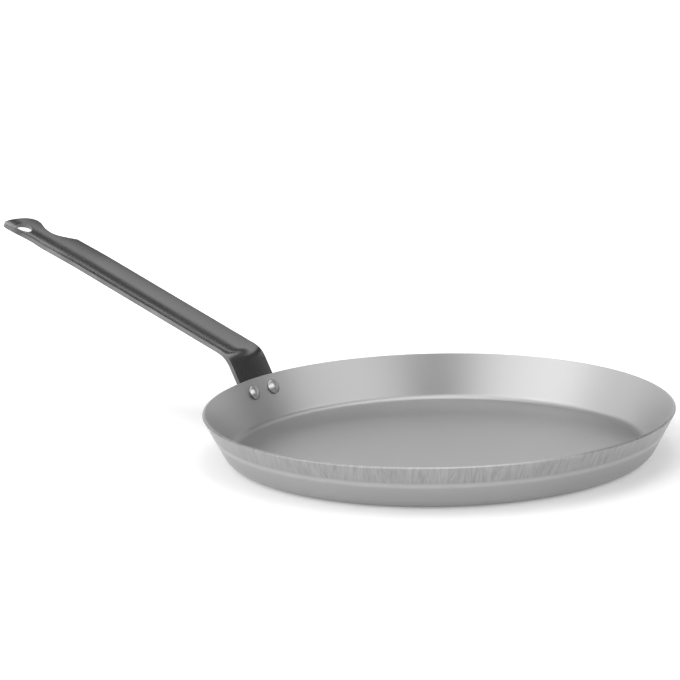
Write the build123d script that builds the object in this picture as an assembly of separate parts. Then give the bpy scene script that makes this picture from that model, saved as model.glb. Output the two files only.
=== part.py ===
from build123d import *
from math import asin, cos, degrees, radians, sin
import os

# Crepe pan: a shallow spun steel pan with a pressed strip handle held by two rivets.
# The origin is the centre of the resting face, +Z is up and the handle points along -X.

# Pan body
rim_radius = 140.0
pan_height = 28.0
wall_lean = 28.4
sheet = 2.0
corner_radius = 10.6
band_width = 14.5
band_depth = 0.15
band_shoulder = 0.9
rim_chamfer = 0.35

# Handle strip
strip_width = 32.0
strip_thickness = 2.5
foot_drop = 19.0
foot_rise = 17.8
foot_corner_radius = 7.0
bend_radius = 14.0
bend_run = 1.5
grip_slope = 19.5

# Pressed trough of the grip
fade_length = 20.0
trough_angle = 30.0
sink_share = 0.79

# Slight droop of the grip towards the eye
droop_station = 128.0
droop_angle = 1.4
droop_radius = 300.0

# Hanging eye
taper_angle = 20.0
taper_meets_past_eye = 9.0
neck_radius = 22.0
eye_station = 190.6
eye_radius = 13.1
eye_hole_diameter = 11.0

# Rivets
rivet_margin = 6.7
rivet_drop = 8.5
shank_diameter = 5.0
head_diameter = 9.0
head_height = 2.3
head_edge = 1.0
set_head_diameter = 8.4
set_head_height = 1.3
hole_clearance = 0.1

# Length that a cutting shape runs past what it cuts
overrun = 5.0

lean = radians(wall_lean)
slope = radians(grip_slope)
up_wall = Vector(sin(lean), 0, cos(lean))
off_wall = Vector(cos(lean), 0, -sin(lean))
along_grip = Vector(cos(slope), 0, sin(slope))
under_grip = Vector(sin(slope), 0, -cos(slope))
half_bend = (radians(90 - wall_lean) - slope) / 2
tangent_length = bend_radius * sin(half_bend) / cos(half_bend)
fade_start = tangent_length + bend_run
rim_edge = Vector(rim_radius, 0, pan_height - (sheet - band_depth) * sin(lean))


def wall_point(down, out):
    """Point in the XZ plane, down the wall from the rim and out from its ground face."""
    return rim_edge - up_wall * down + off_wall * out


def corner_centre():
    """Centre of the arcs that join the base to the wall."""
    drop = rim_edge.Z - corner_radius
    reach = (corner_radius - band_depth + drop * sin(lean)) / cos(lean)
    return Vector(rim_radius - reach, 0, corner_radius)


def corner_arc(radius):
    """Arc round the corner centre, from straight down to square to the wall."""
    centre = corner_centre()
    middle = Vector(sin((radians(90) - lean) / 2), 0, -cos((radians(90) - lean) / 2))
    return ThreePointArc(
        centre - Vector(0, 0, radius), centre + middle * radius, centre + off_wall * radius
    )


def pan_blank():
    """Pan without its rivet holes: one turned profile, with the band ground below the rim."""
    outer_arc = corner_arc(corner_radius)
    inner_arc = corner_arc(corner_radius - sheet)
    rim_outside = wall_point(0, 0)
    rim_inside = wall_point(0, band_depth - sheet)
    outside = [
        Line((0, 0, 0), outer_arc @ 0),
        outer_arc,
        Line(outer_arc @ 1, wall_point(band_width + band_shoulder, band_depth)),
        Line(wall_point(band_width + band_shoulder, band_depth), wall_point(band_width, 0)),
        Line(wall_point(band_width, 0), rim_outside),
    ]
    inside = [
        Line(rim_outside, rim_inside),
        Line(rim_inside, inner_arc @ 1),
        inner_arc,
        Line(inner_arc @ 0, (0, 0, sheet)),
        Line((0, 0, sheet), (0, 0, 0)),
    ]
    profile = make_face(outside + inside)
    rim_corners = profile.vertices().sort_by(Axis.Z)[-2:]
    profile = chamfer(rim_corners, rim_chamfer)
    return revolve(profile, Axis.Z, 360)


def strip_profile(out, length):
    """Side line of one face of the strip, from the foot's end round the bend into the grip."""
    cross = wall_point(-foot_rise, band_depth)
    corner = cross + (off_wall + under_grip).normalized() * (out / cos(half_bend))
    foot_end = wall_point(foot_drop + overrun, band_depth + out)
    grip_end = cross + along_grip * length + under_grip * out
    return FilletPolyline(foot_end, corner, grip_end, radius=bend_radius - out)


def station_plane(station):
    """Plane square to the grip, with its own Y up out of the grip's top face."""
    place = wall_point(-foot_rise, band_depth) + along_grip * station
    return Plane(
        origin=(-place.X, 0, place.Z), x_dir=(0, -1, 0), z_dir=(-along_grip.X, 0, along_grip.Z)
    )


def foot_and_bend():
    """Foot and bend turned about the pan's axis, so that the foot seats on the wall."""
    length = fade_start + overrun
    top = strip_profile(0, length)
    under = strip_profile(strip_thickness, length)
    profile = make_face([top, under, Line(top @ 0, under @ 0), Line(top @ 1, under @ 1)])
    lowest = wall_point(foot_drop + overrun, 0).X
    arc = 2 * degrees(asin((strip_width / 2 + overrun) / lowest))
    turned = Rot(0, 0, 180 - arc / 2) * revolve(profile, Axis.Z, arc)
    blank = turned & foot_outline()
    return split(blank, station_plane(fade_start), keep=Keep.BOTTOM)


def foot_outline():
    """Straight-sided outline of the foot and bend, with the foot's two corners rounded."""
    face_plane = Plane(
        origin=(-rim_edge.X, 0, rim_edge.Z), x_dir=(0, 1, 0), z_dir=(-off_wall.X, 0, off_wall.Z)
    )
    height = foot_drop + foot_rise + fade_start + overrun
    centre = Vector(0, height / 2 - foot_drop)
    outline = Pos(centre.X, -centre.Y) * Rectangle(strip_width, height)
    foot_corners = outline.vertices().sort_by(Axis.Y)[-2:]
    outline = fillet(foot_corners, foot_corner_radius)
    reach = fade_start + overrun + strip_thickness
    return extrude(face_plane * outline, reach, both=True)


def trough_section(fullness):
    """Section of the pressed strip, from nearly flat to a full trough."""
    angle = radians(trough_angle) * fullness
    top_radius = strip_width / (2 * angle) - strip_thickness / 2
    under_radius = top_radius + strip_thickness
    centre = Vector(0, top_radius - sink_share * top_radius * (1 - cos(angle)))

    def point(turn, radius):
        return centre + Vector(sin(turn), -cos(turn)) * radius

    edges = [Line(point(turn, top_radius), point(turn, under_radius)) for turn in (-angle, angle)]
    for radius in (top_radius, under_radius):
        edges.append(ThreePointArc(point(-angle, radius), point(0, radius), point(angle, radius)))
    return make_face(edges)


def trough_fade(start_face):
    """Loft from the flat strip past the bend to the full trough."""
    fullness_shares = (0.25, 0.5, 0.75, 1.0)
    sections = [start_face]
    for share in fullness_shares:
        travel = 0.5 - sin(asin(1 - 2 * share) / 3)
        plane = station_plane(fade_start + fade_length * travel)
        sections.append(plane * trough_section(share))
    return loft(sections)


def eye_outline(start):
    """Plan outline of the grip, its tapered neck and the round eye with its hole."""
    angle = radians(trough_angle)
    side = (strip_width / (2 * angle) + strip_thickness / 2) * sin(angle)
    clear = side + overrun
    taper_end = eye_station + taper_meets_past_eye
    shoulder = taper_end - side * cos(radians(taper_angle)) / sin(radians(taper_angle))
    half = [(start - overrun, clear), (shoulder, clear), (shoulder, side)]
    mirrored = [(station, -width) for station, width in reversed(half)]
    grip_plan = make_face(Polyline(*half, (taper_end, 0), *mirrored, close=True))
    outline = grip_plan + Pos(eye_station, 0) * Circle(eye_radius)
    neck_corners = [
        corner
        for corner in outline.vertices()
        if corner.X > shoulder and abs(corner.Y) < eye_radius
    ]
    outline = fillet(neck_corners, neck_radius)
    return outline - Pos(eye_station, 0) * Circle(eye_hole_diameter / 2)


def grip_and_eye():
    """Trough from the end of the fade, drooping slightly to the eye and cut to its outline."""
    start = fade_start + fade_length
    length = eye_station + eye_radius + overrun - droop_station
    droop_plane = station_plane(droop_station)
    turning_point = droop_plane.origin - droop_plane.y_dir * droop_radius
    turning_axis = Axis(turning_point, droop_plane.x_dir)
    section = droop_plane * trough_section(1)
    trough = extrude(station_plane(start) * trough_section(1), droop_station - start)
    trough += revolve(section, turning_axis, droop_angle)
    trough += extrude(section.rotate(turning_axis, droop_angle), length)
    crossing = station_plane(0)
    plan = Plane(origin=crossing.origin, x_dir=crossing.z_dir, z_dir=crossing.y_dir)
    return trough & extrude(plan * eye_outline(start), strip_width / 2, both=True)


def handle_blank():
    """Handle without its rivet holes."""
    foot = foot_and_bend()
    plane = station_plane(fade_start)
    ends = [face for face in foot.faces() if face.is_planar]
    start_face = sorted(ends, key=lambda face: abs(plane.to_local_coords(face.center()).Z))[0]
    return foot + trough_fade(start_face) + grip_and_eye()


def rivet_place(side):
    """Place on the wall's ground face at one rivet, with its own Z facing outward."""
    seat = wall_point(rivet_drop, 0)
    turn = 180 + side * degrees(asin((strip_width / 2 - rivet_margin) / seat.X))
    return Rot(0, 0, turn) * Plane(origin=seat, x_dir=(0, 1, 0), z_dir=off_wall).location


def rivet_hole(side):
    """Clearance hole for one rivet, through the wall and the foot."""
    reach = sheet + strip_thickness + overrun
    hole = Cylinder(shank_diameter / 2 + hole_clearance, 2 * reach)
    return rivet_place(side) * hole


def domed_head():
    """Head inside the pan, on its flat seat: a spherical cap on a short upright edge."""
    base = head_diameter / 2
    rise = head_height - head_edge
    radius = (base**2 + rise**2) / (2 * rise)
    half_turn = asin(base / radius) / 2
    middle = (radius * sin(half_turn), 0, head_height - radius * (1 - cos(half_turn)))
    outline = [
        Polyline((0, 0, head_height), (0, 0, 0), (base, 0, 0), (base, 0, head_edge)),
        ThreePointArc((base, 0, head_edge), middle, (0, 0, head_height)),
    ]
    return revolve(make_face(outline), Axis.Z, 360)


def rivet(side, pan, strip):
    """Rivet with a domed head seated on the wall inside and a flat one set on the foot."""
    inner_seat = band_depth - sheet
    outer_seat = band_depth + strip_thickness
    heads = Pos(0, 0, inner_seat) * Rot(180, 0, 0) * domed_head()
    set_head = Cylinder(set_head_diameter / 2, set_head_height)
    heads += Pos(0, 0, outer_seat + set_head_height / 2) * set_head
    shank_length = outer_seat - inner_seat + 2 * head_edge
    shank = Cylinder(shank_diameter / 2, shank_length)
    middle = Pos(0, 0, (inner_seat + outer_seat) / 2)
    return rivet_place(side) * heads - pan - strip + rivet_place(side) * middle * shank


os.makedirs("parts", exist_ok=True)

pan = pan_blank()
strip = handle_blank()
holes = rivet_hole(1) + rivet_hole(-1)

export_step(pan - holes, "parts/pan_body.step")
export_step(strip - holes, "parts/handle.step")
export_step(rivet(1, pan, strip), "parts/rivet_left.step")
export_step(rivet(-1, pan, strip), "parts/rivet_right.step")
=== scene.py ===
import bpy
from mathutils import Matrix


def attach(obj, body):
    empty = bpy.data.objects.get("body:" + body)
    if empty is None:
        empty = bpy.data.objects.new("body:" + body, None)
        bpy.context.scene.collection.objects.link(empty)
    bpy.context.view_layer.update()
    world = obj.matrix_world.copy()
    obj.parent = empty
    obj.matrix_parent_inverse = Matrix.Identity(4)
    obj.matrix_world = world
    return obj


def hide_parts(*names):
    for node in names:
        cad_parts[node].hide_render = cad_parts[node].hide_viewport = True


bl_info = {
    "name": "Crepe Pan",
    "version": (1, 0, 0),
    "blender": (4, 5, 0),
    "location": "3D View > Sidebar > Crepe Pan",
    "description": "Models and finishes a riveted steel crepe pan round its packed frame",
    "category": "Add Mesh",
}

from collections import namedtuple
from math import asin, atan2, ceil, cos, pi, radians, sin, sqrt, tan

import bmesh
import bpy
from bpy.props import FloatProperty, FloatVectorProperty, IntProperty, PointerProperty
from mathutils import Quaternion, Vector

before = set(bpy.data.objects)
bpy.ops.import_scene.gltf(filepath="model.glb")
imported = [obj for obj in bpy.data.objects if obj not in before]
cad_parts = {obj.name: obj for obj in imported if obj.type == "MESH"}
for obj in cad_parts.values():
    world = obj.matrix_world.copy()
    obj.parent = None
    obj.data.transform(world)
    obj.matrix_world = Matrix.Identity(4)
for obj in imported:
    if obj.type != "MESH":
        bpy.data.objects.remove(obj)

MM = 0.001


# Small makers of properties

def length(name, description, millimetres):
    """A length property, given in millimetres and held in metres."""
    return FloatProperty(
        name=name, description=description, default=millimetres * MM, unit="LENGTH", precision=5
    )


def angle(name, description, degrees):
    """An angle property, given in degrees and held in radians."""
    return FloatProperty(
        name=name, description=description, default=radians(degrees), unit="ROTATION"
    )


def share(name, description, default):
    """A plain number from 0 to 1."""
    return FloatProperty(
        name=name, description=description, default=default, min=0.0, max=1.0, subtype="FACTOR"
    )


def plain(name, description, default):
    """A plain number without a unit."""
    return FloatProperty(name=name, description=description, default=default)


def grey(name, description, value):
    """A neutral colour property."""
    return FloatVectorProperty(
        name=name, description=description, default=(value, value, value), size=3,
        min=0.0, max=1.0, subtype="COLOR",
    )


# Sizes and finishes that a user would change

class PanSizes(bpy.types.PropertyGroup):
    """Sizes of the pan body."""
    rim_radius: length("Rim radius", "Outside radius at the rim", 140.0)
    height: length("Height", "From the resting face to the rim", 28.0)
    wall_lean: angle("Wall lean", "Lean of the wall from upright", 28.4)
    sheet: length("Sheet", "Thickness of the pan's sheet", 2.0)
    corner_radius: length("Corner radius", "Outside radius where the base meets the wall", 10.6)
    inner_corner: length("Inner corner", "Inside radius where the base meets the wall", 5.5)
    band_width: length("Band width", "How far the ground band reaches down the wall", 11.2)
    band_depth: length("Band depth", "How deep the band is ground into the wall", 0.15)
    band_shoulder: length("Band shoulder", "Width of the slope below the ground band", 4.2)
    rim_rounding: length("Rim rounding", "Radius of the two edges of the rim", 0.3)
    turns: IntProperty(name="Turns", description="Steps round the pan", default=288, min=48)


class HandleSizes(bpy.types.PropertyGroup):
    """Sizes of the strip handle."""
    width: length("Width", "Width of the strip", 32.0)
    thickness: length("Thickness", "Thickness of the strip", 2.5)
    foot_drop: length("Foot drop", "How far the foot reaches down the wall from the rim", 19.0)
    foot_rise: length("Foot rise", "From the rim up the wall's line to the bend's corner", 17.8)
    foot_corner_radius: length("Foot corner radius", "Radius of the foot's corners", 7.0)
    bend_radius: length("Bend radius", "Radius of the bend's upper face", 14.0)
    grip_slope: angle("Grip slope", "Rise of the grip above level", 19.5)
    fade_lead: length("Fade lead", "How far before the bend's end the trough starts", 11.0)
    fade_length: length("Fade length", "Length in which the trough deepens", 14.0)
    trough_angle: angle("Trough angle", "Half of the trough's arc", 30.0)
    sink: share("Sink", "Share of the trough's depth that lies below the bend's face", 0.79)
    droop_station: length("Droop station", "From the bend's corner to the droop's start", 128.0)
    droop_angle: angle("Droop angle", "How far the end of the grip is bent down", 1.4)
    droop_radius: length("Droop radius", "Radius of the droop's start", 300.0)
    taper_angle: angle("Taper angle", "Taper of each side at the neck", 20.0)
    taper_past_eye: length("Taper past eye", "Where the tapers would meet, past the eye", 9.0)
    neck_radius: length("Neck radius", "Radius that joins the taper to the eye", 22.0)
    eye_station: length("Eye station", "From the bend's corner to the eye", 190.6)
    eye_radius: length("Eye radius", "Outside radius of the eye", 13.1)
    hole_radius: length("Hole radius", "Radius of the hanging hole", 5.5)
    edge_rounding: length("Edge rounding", "Radius of the strip's sheared edges", 0.35)


class RivetSizes(bpy.types.PropertyGroup):
    """Sizes of the two rivets."""
    margin: length("Margin", "From the strip's side to a rivet's centre", 6.7)
    drop: length("Drop", "From the rim down the wall to a rivet's centre", 8.5)
    head_radius: length("Head radius", "Radius of the domed head inside", 4.5)
    head_height: length("Head height", "Height of the domed head inside", 2.3)
    head_edge: length("Head edge", "Upright edge of the domed head", 1.0)
    set_head_radius: length("Set head radius", "Radius of the flat head outside", 4.2)
    set_head_height: length("Set head height", "Height of the flat head outside", 1.3)
    rounding: length("Rounding", "Radius where the flat head's side meets its top", 0.5)


class PanFinishes(bpy.types.PropertyGroup):
    """Colours and roughness of the finishes."""
    steel: grey("Steel", "Colour of the spun sheet", 0.42)
    ground: grey("Ground steel", "Colour of the ground band", 0.39)
    # Brighter steel colour for a painted highlight along the slope below the ground band
    worn: grey("Highlight steel", "Colour of the ridge below the ground band", 0.52)
    coating: grey("Coating", "Colour of the handle's coating", 0.009)
    cut_edge: grey("Cut edge", "Colour of the strip's rubbed edges", 0.16)
    rivet: grey("Rivet", "Colour of the rivets", 0.5)
    steel_roughness: share("Steel roughness", "Roughness of the spun sheet", 0.42)
    ground_roughness: share("Ground roughness", "Roughness of the ground band", 0.42)
    shoulder_roughness: share("Shoulder roughness", "Roughness of the worn ridge", 0.35)
    coating_roughness: share("Coating roughness", "Roughness of the coating", 0.24)
    cut_edge_roughness: share("Cut edge roughness", "Roughness of the rubbed edges", 0.38)
    rivet_roughness: share("Rivet roughness", "Roughness of the rivets", 0.3)
    coating_ior: plain("Coating index", "Index of refraction of the coating", 1.8)
    cut_edge_metal: share("Cut edge metal", "How much the rubbed edges look like bare metal", 0.5)


class StageSettings(bpy.types.PropertyGroup):
    """Camera, floor and light."""
    rim_column: plain("Rim column", "Picture column of the rim's centre", 438.529)
    rim_row: plain("Rim row", "Picture row of the rim's centre", 407.117)
    picture: plain("Picture", "Width of the picture", 680.0)
    focal: plain("Focal", "Focal length in picture columns", 3500.0)
    distance: length("Distance", "From the rim's centre to the camera", 2073.0)
    elevation: angle("Elevation", "Camera's height above level", 14.03)
    azimuth: angle("Azimuth", "Camera's turn about the pan", 36.6)
    roll: angle("Roll", "Camera's roll", 0.994)
    rim_level: length("Rim level", "Height of the rim's centre that the camera aims by", 27.55)
    world_light: plain("World light", "Light from all round", 0.24)
    floor_colour: grey("Floor colour", "Colour of the floor and backdrop", 0.76)
    floor_roughness: share("Floor roughness", "Roughness of the floor and backdrop", 0.9)
    floor_glow: share("Floor glow", "Light that the floor gives by itself", 0.25)
    far_glow: share("Far glow", "White that the camera and the metal see in the far floor", 0.4)
    glow_start: length("Glow start", "From the pan's middle to the start of the far glow", 160.0)
    glow_full: length("Glow full", "From the pan's middle to the full far glow", 500.0)
    floor_width: length("Floor width", "Width of the floor and backdrop", 40000.0)
    floor_reach: length("Floor reach", "From the pan to the backdrop's curve", 2200.0)
    backdrop_radius: length("Backdrop radius", "Radius of the curve up to the backdrop", 800.0)
    backdrop_height: length("Backdrop height", "Height of the backdrop", 1500.0)


GROUPS = {
    "pan_sizes": PanSizes,
    "handle_sizes": HandleSizes,
    "rivet_sizes": RivetSizes,
    "pan_finishes": PanFinishes,
    "stage_settings": StageSettings,
}


# Shared mesh helpers

def only(kind, items):
    """The items of one kind, such as vertices, in what an operator gives back."""
    return [item for item in items if isinstance(item, kind)]


def line_to(bm, start, place):
    """Draws an edge from a vertex to a place and returns its far vertex."""
    end = bm.verts.new(place)
    bm.edges.new((start, end))
    return end


def arc_to(bm, start, centre, turn, steps, axis=(0, 1, 0)):
    """Draws an arc from a vertex about a centre and returns its far vertex."""
    swept = bmesh.ops.spin(
        bm, geom=[start], cent=centre, axis=axis, dvec=(0, 0, 0), angle=turn, steps=steps,
        use_merge=False,
    )
    return only(bmesh.types.BMVert, swept["geom_last"])[0]


def turn_profile(bm, steps):
    """Spins everything in the mesh once round the Z axis, with closed seams and poles."""
    bmesh.ops.spin(
        bm, geom=bm.verts[:] + bm.edges[:], cent=(0, 0, 0), axis=(0, 0, 1), dvec=(0, 0, 0),
        angle=2 * pi, steps=steps, use_merge=True,
    )
    bmesh.ops.remove_doubles(bm, verts=bm.verts[:], dist=0.001 * MM)
    bmesh.ops.recalc_face_normals(bm, faces=bm.faces[:])


def new_object(name, bm, materials):
    """Turns a bmesh into a smooth object, with its place in its mesh."""
    mesh = bpy.data.meshes.new(name)
    bm.to_mesh(mesh)
    bm.free()
    for material in materials:
        mesh.materials.append(material)
    mesh.shade_smooth()
    made = bpy.data.objects.new(name, mesh)
    bpy.context.scene.collection.objects.link(made)
    return made


def new_piece(name, bm, materials, node):
    """Makes a piece that stands for a frame node and rides on the body."""
    piece = new_object(name, bm, materials)
    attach(piece, "root")
    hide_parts(node)
    return piece


def even_shading(piece):
    """Keeps broad faces flat in shade beside their small rounded edges."""
    modifier = piece.modifiers.new("even_shading", "WEIGHTED_NORMAL")
    modifier.keep_sharp = True
    modifier.weight = 100


# Places on the wall, along the handle and round its eye

class Wall:
    """Places on the pan's wall, in the half plane of positive X."""

    def __init__(self, pan):
        lean = pan.wall_lean
        self.up = Vector((sin(lean), 0, cos(lean)))
        self.off = Vector((cos(lean), 0, -sin(lean)))
        edge_level = pan.height - (pan.sheet - pan.band_depth) * sin(lean)
        self.edge = Vector((pan.rim_radius, 0, edge_level))

    def point(self, down, out):
        """Down the wall from the rim, and out from the ground band's face."""
        return self.edge - self.up * down + self.off * out

    def point_at(self, level, out):
        """At a level, and out from the ground band's face."""
        return self.point((self.point(0, out).z - level) / self.up.z, out)


class StripPath:
    """Places on the middle of the handle's sheet, from the foot up the bend, grip and eye."""

    def __init__(self, pan, handle):
        slope = handle.grip_slope
        half_bend = (pi / 2 - pan.wall_lean - slope) / 2
        tangent = handle.bend_radius * tan(half_bend)
        self.handle = handle
        self.middle = handle.thickness / 2
        self.wall = Wall(pan)
        self.along = Vector((cos(slope), 0, sin(slope)))
        self.under = Vector((sin(slope), 0, -cos(slope)))
        self.crossing = self.wall.point(-handle.foot_rise, pan.band_depth)
        self.foot_out = pan.band_depth + self.middle
        self.foot_length = handle.foot_drop + handle.foot_rise - tangent
        self.arc_radius = handle.bend_radius - self.middle
        self.arc_length = self.arc_radius * 2 * half_bend
        self.arc_centre = self.crossing + self.along * tangent + self.under * handle.bend_radius
        self.bend_end = self.foot_length + self.arc_length
        self.corner_run = self.bend_end - tangent
        self.fade_start = self.bend_end - handle.fade_lead

    def side(self, run):
        """Place on the middle line in the XZ plane, at a run from the foot's end."""
        if run <= self.foot_length:
            return self.wall.point(self.handle.foot_drop - run, self.foot_out)
        if run <= self.bend_end:
            return self.arc_centre + self.upward(run) * self.arc_radius
        return self.crossing + self.along * (run - self.corner_run) + self.under * self.middle

    def upward(self, run):
        """Direction out of the strip's upper face, in the XZ plane."""
        turned = min(max(0.0, run - self.foot_length), self.arc_length) / self.arc_radius
        return self.wall.up * sin(turned) - self.wall.off * cos(turned)

    def droop(self, station):
        """How far the grip has come down at a station, past the start of its droop."""
        handle = self.handle
        past = max(0.0, station - handle.droop_station)
        arc = handle.droop_radius * handle.droop_angle
        if past < arc:
            return past * past / (2 * handle.droop_radius)
        return (past - arc / 2) * handle.droop_angle

    def fullness(self, run):
        """How much of the trough is pressed at a run, from 0 on the flat foot to 1."""
        part = min(max(0.0, (run - self.fade_start) / self.handle.fade_length), 1.0)
        return part * part * (3 - 2 * part)

    def pressed(self, run, across):
        """Place on the middle of the sheet, by a share across the strip's full width."""
        handle = self.handle
        fullness = self.fullness(run)
        # A flat strip would need an endless radius
        least_fullness = 0.001
        reach = handle.trough_angle * max(fullness, least_fullness)
        radius = handle.width / (2 * reach)
        rise = radius * (1 - cos(across * reach))
        rise -= handle.sink * (radius - self.middle) * (1 - cos(reach))
        rise -= self.droop(run - self.corner_run)
        aside = radius * sin(across * reach)
        place = self.side(run) + self.upward(run) * rise
        return Vector((-sqrt(place.x**2 - (1 - fullness) * aside**2), -aside, place.z))


class GripPlan:
    """Outline of the grip, neck and eye from above, by stations from the bend's corner."""

    def __init__(self, handle):
        full = handle.trough_angle
        taper = handle.taper_angle
        self.handle = handle
        self.side = handle.width / (2 * full) * sin(full)
        self.outer_side = self.side + handle.thickness / 2 * sin(full)
        tip = handle.eye_station + handle.taper_past_eye
        self.shoulder = tip - self.outer_side / tan(taper)
        self.taper_start = self.shoulder + (self.outer_side - self.side) / tan(taper)
        normal = Vector((sin(taper), cos(taper)))
        along = Vector((cos(taper), -sin(taper)))
        start = Vector((self.shoulder - handle.eye_station, self.outer_side))
        start += normal * handle.neck_radius
        reach = handle.eye_radius + handle.neck_radius
        slide = start.dot(along)
        travel = -slide - sqrt(slide**2 - start.length_squared + reach**2)
        self.neck_centre = start + along * travel
        self.narrowest = handle.eye_station + self.neck_centre.x
        self.taper_end = self.narrowest - normal.x * handle.neck_radius

    def half_width(self, station):
        """Half width of the grip and neck, up to the narrowest place."""
        if station >= self.taper_end:
            off = station - self.narrowest
            return self.neck_centre.y - sqrt(self.handle.neck_radius**2 - off**2)
        tapered = self.outer_side - (station - self.shoulder) * tan(self.handle.taper_angle)
        return min(self.side, tapered)

    def share_across(self, aside):
        """Share across the full trough at a distance from the grip's middle line."""
        full = self.handle.trough_angle
        return asin(aside / self.side * sin(full)) / full

    def aside(self, share_across):
        """Distance from the grip's middle line at a share across the full trough."""
        full = self.handle.trough_angle
        return self.side / sin(full) * sin(share_across * full)

    def rim_place(self, turn):
        """Place on the eye's outline, seen from its centre, at a turn from the neck's side."""
        heading = Vector((-cos(turn), sin(turn)))
        facing = Vector((heading.x, abs(heading.y)))
        centre = self.neck_centre
        touch = centre * (self.handle.eye_radius / centre.length)
        if facing.x < 0 and facing.y / -facing.x < touch.y / -touch.x:
            near = facing.dot(centre)
            neck_radius = self.handle.neck_radius
            return heading * (near - sqrt(near**2 - centre.length_squared + neck_radius**2))
        return heading * self.handle.eye_radius


# Ways to build a finish

# The part of its range that a noise mostly keeps to
NOISE_SPREAD = (0.3, 0.7)


class Finish:
    """A material being built, with short ways to add and join its nodes."""

    def __init__(self, name):
        self.material = bpy.data.materials.new(name)
        self.material.use_nodes = True
        self.tree = self.material.node_tree
        self.shader = self.tree.nodes["Principled BSDF"]
        self.place = self.add("ShaderNodeTexCoord").outputs["Object"]

    def add(self, kind, **settings):
        """Adds a node with its settings."""
        node = self.tree.nodes.new(kind)
        for key, value in settings.items():
            setattr(node, key, value)
        return node

    def join(self, source, target):
        """Links a socket to another, or sets it to a plain value."""
        if hasattr(source, "links"):
            self.tree.links.new(source, target)
        else:
            target.default_value = source

    def math(self, operation, *values):
        """Result of a sum on sockets and plain numbers."""
        node = self.add("ShaderNodeMath", operation=operation)
        for value, socket in zip(values, node.inputs):
            self.join(value, socket)
        return node.outputs[0]

    def noise(self, vector, scale, detail=3.0, roughness=0.5):
        """Noise from 0 to 1, with its scale in cells per metre."""
        node = self.add("ShaderNodeTexNoise")
        self.join(vector, node.inputs["Vector"])
        node.inputs["Scale"].default_value = scale
        node.inputs["Detail"].default_value = detail
        node.inputs["Roughness"].default_value = roughness
        return node.outputs["Fac"]

    def remap(self, value, low, high, to_low, to_high):
        """Moves a value from one range to another and stops it at both ends."""
        node = self.add("ShaderNodeMapRange")
        for key, number in (
            ("From Min", low), ("From Max", high), ("To Min", to_low), ("To Max", to_high)
        ):
            node.inputs[key].default_value = number
        self.join(value, node.inputs["Value"])
        return node.outputs["Result"]

    def vary(self, noise, low, high, spread=NOISE_SPREAD):
        """Lets a noise run from one value to another over its usual spread."""
        return self.remap(noise, *spread, low, high)

    def swing(self, noise, middle, reach, spread=NOISE_SPREAD):
        """Lets a noise swing a value to both sides of its middle."""
        return self.vary(noise, middle - reach, middle + reach, spread)

    def combine(self, x, y, z):
        """Vector of three sockets or plain numbers."""
        node = self.add("ShaderNodeCombineXYZ")
        for value, socket in zip((x, y, z), node.inputs):
            self.join(value, socket)
        return node.outputs[0]

    def tint(self, colour, factor):
        """Multiplies a colour by a grey factor."""
        node = self.add("ShaderNodeVectorMath", operation="SCALE")
        node.inputs[0].default_value = colour[:3]
        self.join(factor, node.inputs["Scale"])
        return node.outputs[0]

    def bump(self, height, distance, strength=0.5):
        """Normal of a surface raised by a height."""
        node = self.add("ShaderNodeBump")
        node.inputs["Strength"].default_value = strength
        node.inputs["Distance"].default_value = distance
        self.join(height, node.inputs["Height"])
        return node.outputs["Normal"]

    def around(self):
        """Angle about the pan's axis and height, from the piece's own coordinates."""
        split = self.add("ShaderNodeSeparateXYZ")
        self.join(self.place, split.inputs[0])
        turn = self.math("ARCTAN2", split.outputs["Y"], split.outputs["X"])
        return turn, split.outputs["Z"]

    def dress(self, colour, roughness, metallic, normal=None):
        """Gives the shader its inputs and returns the material."""
        self.join(colour, self.shader.inputs["Base Color"])
        self.join(roughness, self.shader.inputs["Roughness"])
        self.shader.inputs["Metallic"].default_value = metallic
        if normal is not None:
            self.join(normal, self.shader.inputs["Normal"])
        return self.material


# Finishes

def sheet_grain(finish):
    """Fine grain of the spun sheet."""
    return finish.noise(finish.place, scale=2600.0, detail=2.0)


def coating_peel(finish):
    """Fine orange-peel surface of the coating."""
    return finish.noise(finish.place, scale=1400.0, detail=2.0)


def spun_steel(finishes):
    """Plain satin sheet: fine grain and faint clouds."""
    finish = Finish("spun_steel")
    grain = sheet_grain(finish)
    clouds = finish.noise(finish.place, scale=14.0)
    shade = finish.math(
        "ADD", finish.swing(grain, middle=1.0, reach=0.03), finish.swing(clouds, middle=0.0, reach=0.03)
    )
    rough = finish.swing(clouds, finishes.steel_roughness, reach=0.02)
    normal = finish.bump(grain, distance=0.01 * MM)
    return finish.dress(finish.tint(finishes.steel, shade), rough, metallic=1.0, normal=normal)


def ground_steel(finishes, pan):
    """The band below the rim: steep, uneven grinding marks over the sheet."""
    finish = Finish("ground_steel")
    turn, height = finish.around()
    arc = finish.math("MULTIPLY", turn, pan.rim_radius)
    slant_noise = finish.noise(finish.combine(arc, 0.0, 0.0), scale=45.0, detail=2.0)
    slant = finish.vary(slant_noise, low=-0.3, high=0.12)
    leaning = finish.math("ADD", arc, finish.math("MULTIPLY", height, slant))
    height_squeeze = 0.12
    squeezed = finish.math("MULTIPLY", height, height_squeeze)
    stretched = finish.combine(leaning, squeezed, 0.0)
    fine = finish.noise(stretched, scale=1500.0, detail=4.0, roughness=0.65)
    coarse = finish.noise(stretched, scale=520.0, detail=3.0, roughness=0.6)
    marks = finish.math("ADD", fine, coarse)
    marks_spread = (0.7, 1.3)
    shade = finish.vary(marks, low=0.78, high=1.18, spread=marks_spread)
    rough = finish.swing(marks, finishes.ground_roughness, reach=0.08, spread=marks_spread)
    normal = finish.bump(marks, distance=0.06 * MM, strength=0.8)
    return finish.dress(finish.tint(finishes.ground, shade), rough, metallic=1.0, normal=normal)


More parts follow.
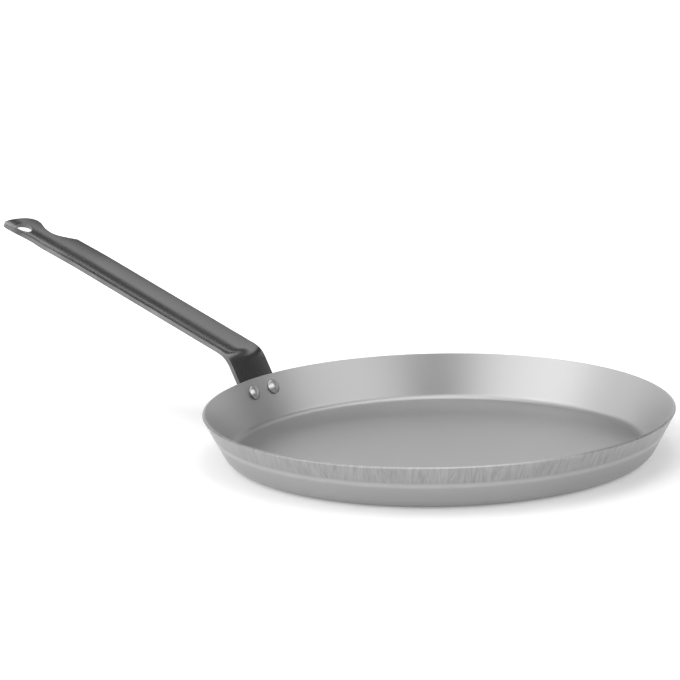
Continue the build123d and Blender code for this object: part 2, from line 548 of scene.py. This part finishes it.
def shoulder_highlight_steel(finishes, pan):
    """The slope below the ground band, with a painted highlight along its middle."""
    finish = Finish("shoulder_highlight_steel")
    middle = Wall(pan).point(pan.band_width + pan.band_shoulder / 2, 0).z
    reach = pan.band_shoulder / 2 * cos(pan.wall_lean)
    core = 0.05 * reach
    turn, height = finish.around()
    around = finish.combine(turn, 0.0, 0.0)
    wander = finish.swing(finish.noise(around, scale=9.0), middle=0.0, reach=0.2 * MM)
    level = finish.math("ADD", height, wander)
    off = finish.math("ABSOLUTE", finish.math("SUBTRACT", level, middle))
    # Painted highlight: a soft bright line of lighter colour down the middle of the slope, patchy round
    # the pan
    highlight_band = finish.remap(off, core, reach, 1.0, 0.0)
    patches = finish.vary(finish.noise(around, scale=14.0), low=0.6, high=1.0)
    grain = finish.swing(sheet_grain(finish), middle=1.0, reach=0.03)
    # How much the steel colour is lifted to paint the highlight
    highlight_lift = finishes.worn[0] / finishes.steel[0] - 1
    painted_highlight = finish.math("MULTIPLY", finish.math("MULTIPLY", highlight_band, patches), highlight_lift)
    shade = finish.math("ADD", grain, painted_highlight)
    return finish.dress(finish.tint(finishes.steel, shade), finishes.shoulder_roughness, metallic=1.0)


def handle_coating(finishes):
    """Dark satin coating with a faint orange-peel surface."""
    finish = Finish("handle_coating")
    clouds = finish.noise(finish.place, scale=30.0)
    shade = finish.swing(clouds, middle=1.0, reach=0.1)
    rough = finish.swing(clouds, finishes.coating_roughness, reach=0.03)
    normal = finish.bump(coating_peel(finish), distance=0.006 * MM)
    finish.shader.inputs["IOR"].default_value = finishes.coating_ior
    return finish.dress(finish.tint(finishes.coating, shade), rough, metallic=0.0, normal=normal)


def cut_edge(finishes):
    """The strip's cut edge, where the coating is thin and rubbed."""
    finish = Finish("cut_edge")
    rubs = finish.noise(finish.place, scale=60.0, detail=4.0, roughness=0.6)
    colour = finish.tint(finishes.cut_edge, finish.vary(rubs, low=0.7, high=1.2))
    normal = finish.bump(coating_peel(finish), distance=0.02 * MM)
    return finish.dress(colour, finishes.cut_edge_roughness, finishes.cut_edge_metal, normal)


def rivet_metal(finishes):
    """Bright metal with fine handling marks."""
    finish = Finish("rivet_metal")
    marks = finish.noise(finish.place, scale=1800.0, roughness=0.6)
    shade = finish.swing(marks, middle=1.0, reach=0.07)
    smoothest = finishes.rivet_roughness - 0.04
    roughest = finishes.rivet_roughness + 0.06
    rough = finish.vary(marks, smoothest, roughest)
    normal = finish.bump(marks, distance=0.01 * MM)
    return finish.dress(finish.tint(finishes.rivet, shade), rough, metallic=1.0, normal=normal)


def pale_floor(stage):
    """Pale floor with a faint glow, and far off more of it for the camera and for reflections."""
    finish = Finish("pale_floor")
    finish.dress((*stage.floor_colour, 1.0), stage.floor_roughness, metallic=0.0)
    distance = finish.add("ShaderNodeVectorMath", operation="LENGTH")
    finish.join(finish.place, distance.inputs[0])
    spread = finish.remap(
        distance.outputs["Value"], stage.glow_start, stage.glow_full, 0.0, stage.far_glow
    )
    ray = finish.add("ShaderNodeLightPath")
    seen = ray.outputs["Is Camera Ray"]
    for kind in ("Is Glossy Ray", "Is Transmission Ray"):
        seen = finish.math("MAXIMUM", seen, ray.outputs[kind])
    strength = finish.math("ADD", finish.math("MULTIPLY", seen, spread), stage.floor_glow)
    glow = finish.add("ShaderNodeEmission")
    finish.join(strength, glow.inputs["Strength"])
    both = finish.add("ShaderNodeAddShader")
    finish.join(finish.shader.outputs[0], both.inputs[0])
    finish.join(glow.outputs[0], both.inputs[1])
    finish.join(both.outputs[0], finish.tree.nodes["Material Output"].inputs["Surface"])
    return finish.material


# Pieces

class CREPEPAN_OT_pan_body(bpy.types.Operator):
    """Turn the pan body, with its ground band below the rim"""
    bl_idname = "crepe_pan.pan_body"
    bl_label = "Pan Body"

    def execute(self, context):
        pan = context.scene.pan_sizes
        finishes = context.scene.pan_finishes
        bm = bmesh.new()
        self.draw_section(bm, pan)
        turn_profile(bm, pan.turns)
        self.mark_band(bm, pan)
        materials = [spun_steel(finishes), ground_steel(finishes, pan), shoulder_highlight_steel(finishes, pan)]
        piece = new_piece("pan_shell", bm, materials, "pan_body")
        even_shading(piece)
        return {"FINISHED"}

    def draw_section(self, bm, pan):
        """Half section of the pan, from the axis out under the base, up and back inside."""
        wall = Wall(pan)
        sweep = pi / 2 - pan.wall_lean
        corner_steps = 14
        shoulder_steps = 8
        edge_steps = 4
        inner = pan.band_depth - pan.sheet
        rounding = pan.rim_rounding
        centre = wall.point_at(pan.corner_radius, pan.band_depth - pan.corner_radius)
        pen = bm.verts.new((0, 0, 0))
        pen = line_to(bm, pen, (centre.x, 0, 0))
        pen = arc_to(bm, pen, centre, -sweep, corner_steps)
        for step in range(shoulder_steps + 1):
            part = step / shoulder_steps
            down = pan.band_width + pan.band_shoulder * (1 - part)
            rise = (1 + cos(pi * part)) / 2
            pen = line_to(bm, pen, wall.point(down, pan.band_depth * rise))
        pen = line_to(bm, pen, wall.point(rounding, 0))
        pen = arc_to(bm, pen, wall.point(rounding, -rounding), -pi / 2, edge_steps)
        pen = line_to(bm, pen, wall.point(0, inner + rounding))
        pen = arc_to(bm, pen, wall.point(rounding, inner + rounding), -pi / 2, edge_steps)
        centre = wall.point_at(pan.sheet + pan.inner_corner, inner - pan.inner_corner)
        pen = line_to(bm, pen, centre + wall.off * pan.inner_corner)
        pen = arc_to(bm, pen, centre, sweep, corner_steps)
        line_to(bm, pen, (0, 0, pan.sheet))

    def mark_band(self, bm, pan):
        """Gives the ground band the second finish and the slope below it the third, which carries a
        painted highlight.
        """
        wall = Wall(pan)
        band_foot = wall.point(pan.band_width, 0).z
        shoulder_foot = wall.point(pan.band_width + pan.band_shoulder, pan.band_depth).z
        for face in bm.faces:
            middle = face.calc_center_median()
            outward = face.normal.dot(Vector((middle.x, middle.y, 0))) > 0
            if outward and middle.z > shoulder_foot:
                face.material_index = 1 if middle.z > band_foot else 2


class CREPEPAN_OT_handle(bpy.types.Operator):
    """Press the strip handle, with its foot, bend, trough, neck and hanging eye"""
    bl_idname = "crepe_pan.handle"
    bl_label = "Handle"
    # Faces across the strip
    columns = 28

    def execute(self, context):
        handle = context.scene.handle_sizes
        finishes = context.scene.pan_finishes
        path = StripPath(context.scene.pan_sizes, handle)
        plan = GripPlan(handle)
        bm = bmesh.new()
        self.lay_strip(bm, path, plan)
        self.lay_eye(bm, path, plan)
        bmesh.ops.remove_doubles(bm, verts=bm.verts[:], dist=0.01 * MM)
        bmesh.ops.recalc_face_normals(bm, faces=bm.faces[:])
        materials = [handle_coating(finishes), cut_edge(finishes)]
        piece = new_piece("handle_strip", bm, materials, "handle")
        self.thicken(piece, handle)
        return {"FINISHED"}

    def rows(self, path, plan):
        """Runs of the grid's rows, from the foot's end to the narrowest place of the neck."""
        handle = path.handle
        corner = handle.foot_corner_radius
        corner_steps = 8
        longest = 1.6 * MM
        stations = (plan.taper_start, plan.taper_end, plan.narrowest)
        marks = sorted([
            corner, path.foot_length, path.bend_end, path.fade_start,
            path.fade_start + handle.fade_length,
            *(path.corner_run + station for station in stations),
        ])
        runs = [corner * (1 - cos(pi / 2 * step / corner_steps)) for step in range(corner_steps)]
        for low, high in zip(marks, marks[1:]):
            count = max(2, ceil((high - low) / longest))
            runs += [low + (high - low) * step / count for step in range(count)]
        return runs + [marks[-1]]

    def lay_strip(self, bm, path, plan):
        """Lays a grid from the foot's end to the neck and presses it into shape."""
        runs = self.rows(path, plan)
        last = len(runs) - 1
        grid = bmesh.ops.create_grid(bm, x_segments=last, y_segments=self.columns, size=0.5)
        for vertex in grid["verts"]:
            run = runs[round((vertex.co.x + 0.5) * last)]
            vertex.co = self.press(path, plan, run, 2 * vertex.co.y)

    def press(self, path, plan, run, across):
        """Place of a grid point on the shaped strip."""
        handle = path.handle
        corner = handle.foot_corner_radius
        if run < corner:
            inset = corner - sqrt(corner**2 - (corner - run) ** 2)
            return path.pressed(run, across * (1 - inset / (handle.width / 2)))
        half_width = plan.half_width(run - path.corner_run)
        return path.pressed(run, across * plan.share_across(half_width))

    def lay_eye(self, bm, path, plan):
        """Lays rings of faces round the hanging hole, out to the eye's edge and the neck."""
        rings = 7
        spokes = self.spokes(path.handle, plan)
        circle = bmesh.ops.create_circle(
            bm, cap_ends=False, segments=len(spokes), radius=path.handle.hole_radius
        )
        ring = circle["verts"]
        ring.sort(key=lambda vertex: atan2(vertex.co.y, vertex.co.x) % (2 * pi))
        edges = list({edge for vertex in ring for edge in vertex.link_edges})
        self.place_ring(ring, spokes, 0.0, path, plan)
        for number in range(1, rings + 1):
            grown = bmesh.ops.extrude_edge_only(bm, edges=edges)["geom"]
            new = only(bmesh.types.BMVert, grown)
            edges = [
                edge for edge in only(bmesh.types.BMEdge, grown)
                if all(vertex in new for vertex in edge.verts)
            ]
            follow = {
                edge.other_vert(vertex): vertex for vertex in new for edge in vertex.link_edges
            }
            ring = [follow[vertex] for vertex in ring]
            self.place_ring(ring, spokes, number / rings, path, plan)

    def spokes(self, handle, plan):
        """Spokes from the hole to the neck's last row and round the eye, seen from its centre."""
        side_steps = 34
        neck_share = plan.share_across(plan.half_width(plan.narrowest))
        back = plan.neck_centre.x
        neck_turn = atan2(plan.half_width(plan.narrowest), -back)
        ends = []
        for column in range(self.columns + 1):
            part = 2 * column / self.columns - 1
            ends.append(Vector((back, plan.aside(part * neck_share))))
        for step in range(1, 2 * side_steps):
            turn = neck_turn + (2 * pi - 2 * neck_turn) * step / (2 * side_steps)
            ends.append(plan.rim_place(turn))
        return [(end.normalized() * handle.hole_radius, end) for end in ends]

    def place_ring(self, ring, spokes, part, path, plan):
        """Moves a ring of vertices to its share of the way along each spoke."""
        eye_run = path.corner_run + path.handle.eye_station
        for vertex, (inner, outer) in zip(ring, spokes):
            flat = inner.lerp(outer, part)
            vertex.co = path.pressed(eye_run + flat.x, plan.share_across(flat.y))

    def thicken(self, piece, handle):
        """Gives the sheet its thickness and rounds its sheared edges."""
        solid = piece.modifiers.new("thickness", "SOLIDIFY")
        solid.thickness = handle.thickness
        solid.offset = 0.0
        solid.use_even_offset = True
        solid.material_offset_rim = 1
        edge = piece.modifiers.new("sheared_edges", "BEVEL")
        edge.width = handle.edge_rounding
        edge.segments = 3
        edge.limit_method = "ANGLE"
        edge.angle_limit = radians(50)
        even_shading(piece)


class CREPEPAN_OT_rivets(bpy.types.Operator):
    """Set the two rivets, domed inside the pan and flat outside"""
    bl_idname = "crepe_pan.rivets"
    bl_label = "Rivets"
    # Steps round a rivet
    turns = 64

    def execute(self, context):
        scene = context.scene
        material = rivet_metal(scene.pan_finishes)
        for name, side in (("rivet_left", 1), ("rivet_right", -1)):
            bm = bmesh.new()
            self.draw_section(bm, scene.pan_sizes, scene.rivet_sizes, scene.handle_sizes)
            turn_profile(bm, self.turns)
            self.seat(bm, side, scene)
            piece = new_piece(name + "_heads", bm, [material], name)
            even_shading(piece)
        return {"FINISHED"}

    def draw_section(self, bm, pan, rivet, handle):
        """Half section of a rivet along Z: domed head below, flat set head above."""
        dome_steps = 16
        edge_steps = 5
        # Each head sits this deep in the curved sheet, so that no gap shows
        sunk = 0.15 * MM
        inner = pan.band_depth - pan.sheet
        outer = pan.band_depth + handle.thickness
        top = outer + rivet.set_head_height
        dome = rivet.head_height - rivet.head_edge
        radius = (rivet.head_radius**2 + dome**2) / (2 * dome)
        sweep = asin(rivet.head_radius / radius)
        shank = rivet.head_radius / 2
        rounding = rivet.rounding
        pen = bm.verts.new((0, 0, inner - rivet.head_height))
        pen = arc_to(bm, pen, (0, 0, inner - rivet.head_height + radius), -sweep, dome_steps)
        pen = line_to(bm, pen, (rivet.head_radius, 0, inner + sunk))
        pen = line_to(bm, pen, (shank, 0, inner + sunk))
        pen = line_to(bm, pen, (shank, 0, outer - sunk))
        pen = line_to(bm, pen, (rivet.set_head_radius, 0, outer - sunk))
        pen = line_to(bm, pen, (rivet.set_head_radius, 0, top - rounding))
        centre = (rivet.set_head_radius - rounding, 0, top - rounding)
        pen = arc_to(bm, pen, centre, -pi / 2, edge_steps)
        line_to(bm, pen, (0, 0, top))

    def seat(self, bm, side, scene):
        """Moves a rivet from the origin to its place in the wall."""
        wall = Wall(scene.pan_sizes)
        rivet = scene.rivet_sizes
        seat = wall.point(rivet.drop, 0)
        aside = scene.handle_sizes.width / 2 - rivet.margin
        turn = Quaternion((0, 0, 1), pi + side * asin(aside / seat.x))
        lean = Vector((0, 0, 1)).rotation_difference(wall.off)
        bmesh.ops.rotate(bm, verts=bm.verts[:], cent=(0, 0, 0), matrix=lean.to_matrix())
        bmesh.ops.translate(bm, verts=bm.verts[:], vec=seat)
        bmesh.ops.rotate(bm, verts=bm.verts[:], cent=(0, 0, 0), matrix=turn.to_matrix())


# Stage

Lamp = namedtuple("Lamp", "name side height distance wide tall power")

# Side and height are degrees from the camera's side and from level, the rest is metres and watts
LAMPS = (
    Lamp("softbox_left", side=-56.0, height=37.0, distance=2.2, wide=2.2, tall=2.4, power=30.0),
    Lamp("softbox_back_left", side=-108.0, height=37.0, distance=2.2, wide=1.9, tall=2.4, power=16.0),
    Lamp("softbox_right", side=60.0, height=43.0, distance=2.2, wide=2.8, tall=1.1, power=17.5),
    Lamp("softbox_over", side=168.0, height=79.0, distance=1.9, wide=1.2, tall=2.3, power=15.0),
)


class CREPEPAN_OT_stage(bpy.types.Operator):
    """Set up the floor, the light and the camera"""
    bl_idname = "crepe_pan.stage"
    bl_label = "Stage"

    def execute(self, context):
        stage = context.scene.stage_settings
        self.add_floor(stage)
        self.light_world(context.scene, stage)
        for lamp in LAMPS:
            self.add_softbox(context.scene, stage, lamp)
        self.add_camera(context.scene, stage)
        context.scene.view_settings.view_transform = "Standard"
        return {"FINISHED"}

    def add_floor(self, stage):
        """A plain pale floor that curves up behind, white where no shadow falls."""
        curve_steps = 24
        heading = Quaternion((0, 0, 1), stage.azimuth)
        curve_centre = (0, stage.floor_reach, stage.backdrop_radius)
        wall_top = (0, stage.floor_reach + stage.backdrop_radius, stage.backdrop_height)
        bm = bmesh.new()
        pen = bm.verts.new((0, -stage.floor_width / 2, 0))
        pen = line_to(bm, pen, (0, stage.floor_reach, 0))
        pen = arc_to(bm, pen, curve_centre, pi / 2, curve_steps, axis=(1, 0, 0))
        line_to(bm, pen, wall_top)
        bmesh.ops.translate(bm, verts=bm.verts[:], vec=(-stage.floor_width / 2, 0, 0))
        grown = bmesh.ops.extrude_edge_only(bm, edges=bm.edges[:])["geom"]
        moved = only(bmesh.types.BMVert, grown)
        bmesh.ops.translate(bm, verts=moved, vec=(stage.floor_width, 0, 0))
        bmesh.ops.rotate(bm, verts=bm.verts[:], cent=(0, 0, 0), matrix=heading.to_matrix())
        bmesh.ops.recalc_face_normals(bm, faces=bm.faces[:])
        new_object("floor", bm, [pale_floor(stage)])

    def light_world(self, scene, stage):
        """A plain dim room round the lamps."""
        world = bpy.data.worlds.new("studio")
        scene.world = world
        world.use_nodes = True
        background = world.node_tree.nodes["Background"]
        background.inputs["Color"].default_value = (1.0, 1.0, 1.0, 1.0)
        background.inputs["Strength"].default_value = stage.world_light

    def add_softbox(self, scene, stage, lamp):
        """A broad lamp that faces the pan."""
        data = bpy.data.lights.new(lamp.name, "AREA")
        data.shape = "RECTANGLE"
        data.size = lamp.wide
        data.size_y = lamp.tall
        data.energy = lamp.power
        light = bpy.data.objects.new(lamp.name, data)
        turn = stage.azimuth + radians(lamp.side)
        rise = radians(lamp.height)
        away = Vector((sin(turn) * cos(rise), -cos(turn) * cos(rise), sin(rise)))
        light.location = away * lamp.distance
        light.rotation_mode = "QUATERNION"
        light.rotation_quaternion = (-away).to_track_quat("-Z", "Y")
        scene.collection.objects.link(light)

    def add_camera(self, scene, stage):
        """Places the camera by the rim's centre in the picture."""
        sensor = 36.0
        data = bpy.data.cameras.new("camera")
        data.sensor_width = sensor
        data.lens = stage.focal / stage.picture * sensor
        camera = bpy.data.objects.new("camera", data)
        target = Vector((0, 0, stage.rim_level))
        level = cos(stage.elevation)
        back = Vector((sin(stage.azimuth) * level, -cos(stage.azimuth) * level, sin(stage.elevation)))
        camera.location = target + back * stage.distance
        centre = stage.picture / 2
        seen = Vector((stage.rim_column - centre, centre - stage.rim_row, -stage.focal))
        shift = Vector((0, 0, -1)).rotation_difference(seen)
        look = (-back).to_track_quat("-Z", "Y")
        camera.rotation_mode = "QUATERNION"
        camera.rotation_quaternion = look @ Quaternion((0, 0, 1), -stage.roll) @ shift.inverted()
        scene.collection.objects.link(camera)
        scene.camera = camera


class CREPEPAN_PT_panel(bpy.types.Panel):
    """The operators, with the sizes and finishes they use"""
    bl_idname = "CREPEPAN_PT_panel"
    bl_label = "Crepe Pan"
    bl_space_type = "VIEW_3D"
    bl_region_type = "UI"
    bl_category = "Crepe Pan"

    def draw(self, context):
        for operator in OPERATORS:
            self.layout.operator(operator.bl_idname)
        for name, group in GROUPS.items():
            box = self.layout.box()
            for key in group.__annotations__:
                box.prop(getattr(context.scene, name), key)


OPERATORS = (
    CREPEPAN_OT_pan_body, CREPEPAN_OT_handle, CREPEPAN_OT_rivets, CREPEPAN_OT_stage,
)


def register():
    for group in GROUPS.values():
        bpy.utils.register_class(group)
    for name, group in GROUPS.items():
        setattr(bpy.types.Scene, name, PointerProperty(type=group))
    for operator in OPERATORS:
        bpy.utils.register_class(operator)
    bpy.utils.register_class(CREPEPAN_PT_panel)


def unregister():
    bpy.utils.unregister_class(CREPEPAN_PT_panel)
    for operator in reversed(OPERATORS):
        bpy.utils.unregister_class(operator)
    for name in GROUPS:
        delattr(bpy.types.Scene, name)
    for group in reversed(list(GROUPS.values())):
        bpy.utils.unregister_class(group)


def main():
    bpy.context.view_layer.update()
    register()
    bpy.ops.crepe_pan.pan_body()
    bpy.ops.crepe_pan.handle()
    bpy.ops.crepe_pan.rivets()
    bpy.ops.crepe_pan.stage()


if __name__ == "__main__":
    main()
